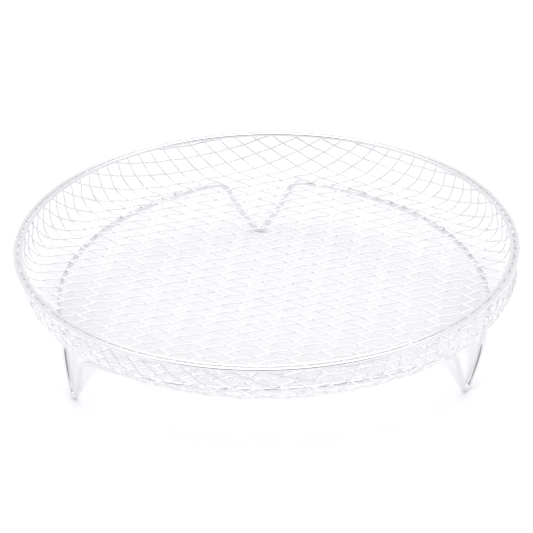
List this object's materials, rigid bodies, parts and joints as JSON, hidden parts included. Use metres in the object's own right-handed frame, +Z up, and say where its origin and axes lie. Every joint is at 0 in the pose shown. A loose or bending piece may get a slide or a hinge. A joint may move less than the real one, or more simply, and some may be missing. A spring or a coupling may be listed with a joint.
{
  "type": "cooling rack",
  "caption": "Round shallow wire-mesh dish with a double wire rim, standing on one bent wire frame with V-shaped feet; food cools or drains on it.",
  "frame": {"origin": "on the surface that the rack stands on, under the centre of the rim", "axes": "+Z up; +Y towards the rear foot; the two front feet are to the left and right of -Y"},
  "size_m": [0.3, 0.3, 0.067],
  "materials": {
    "frame_wire": "bright drawn stainless wire, polished",
    "rim_wire": "bright drawn stainless wire, polished",
    "mesh_wire": "thin crimped stainless wire, satin bright"
  },
  "bodies": {
    "root": {"leg_frame": "frame_wire", "rim_outer_ring": "rim_wire", "rim_inner_ring": "rim_wire", "warp_wire_01": "mesh_wire", "warp_wire_02": "mesh_wire", "warp_wire_03": "mesh_wire", "warp_wire_04": "mesh_wire", "warp_wire_05": "mesh_wire", "warp_wire_06": "mesh_wire", "warp_wire_07": "mesh_wire", "warp_wire_08": "mesh_wire", "warp_wire_09": "mesh_wire", "warp_wire_10": "mesh_wire", "warp_wire_11": "mesh_wire", "warp_wire_12": "mesh_wire", "warp_wire_13": "mesh_wire", "warp_wire_14": "mesh_wire", "warp_wire_15": "mesh_wire", "warp_wire_16": "mesh_wire", "warp_wire_17": "mesh_wire", "warp_wire_18": "mesh_wire", "warp_wire_19": "mesh_wire", "warp_wire_20": "mesh_wire", "warp_wire_21": "mesh_wire", "warp_wire_22": "mesh_wire", "warp_wire_23": "mesh_wire", "warp_wire_24": "mesh_wire", "warp_wire_25": "mesh_wire", "warp_wire_26": "mesh_wire", "warp_wire_27": "mesh_wire", "warp_wire_28": "mesh_wire", "weft_wire_01": "mesh_wire", "weft_wire_02": "mesh_wire", "weft_wire_03": "mesh_wire", "weft_wire_04": "mesh_wire", "weft_wire_05": "mesh_wire", "weft_wire_06": "mesh_wire", "weft_wire_07": "mesh_wire", "weft_wire_08": "mesh_wire", "weft_wire_09": "mesh_wire", "weft_wire_10": "mesh_wire", "weft_wire_11": "mesh_wire", "weft_wire_12": "mesh_wire", "weft_wire_13": "mesh_wire", "weft_wire_14": "mesh_wire", "weft_wire_15": "mesh_wire", "weft_wire_16": "mesh_wire", "weft_wire_17": "mesh_wire", "weft_wire_18": "mesh_wire", "weft_wire_19": "mesh_wire", "weft_wire_20": "mesh_wire", "weft_wire_21": "mesh_wire", "weft_wire_22": "mesh_wire", "weft_wire_23": "mesh_wire", "weft_wire_24": "mesh_wire", "weft_wire_25": "mesh_wire", "weft_wire_26": "mesh_wire", "weft_wire_27": "mesh_wire", "weft_wire_28": "mesh_wire", "weft_wire_29": "mesh_wire"}
  },
  "joints": []
}
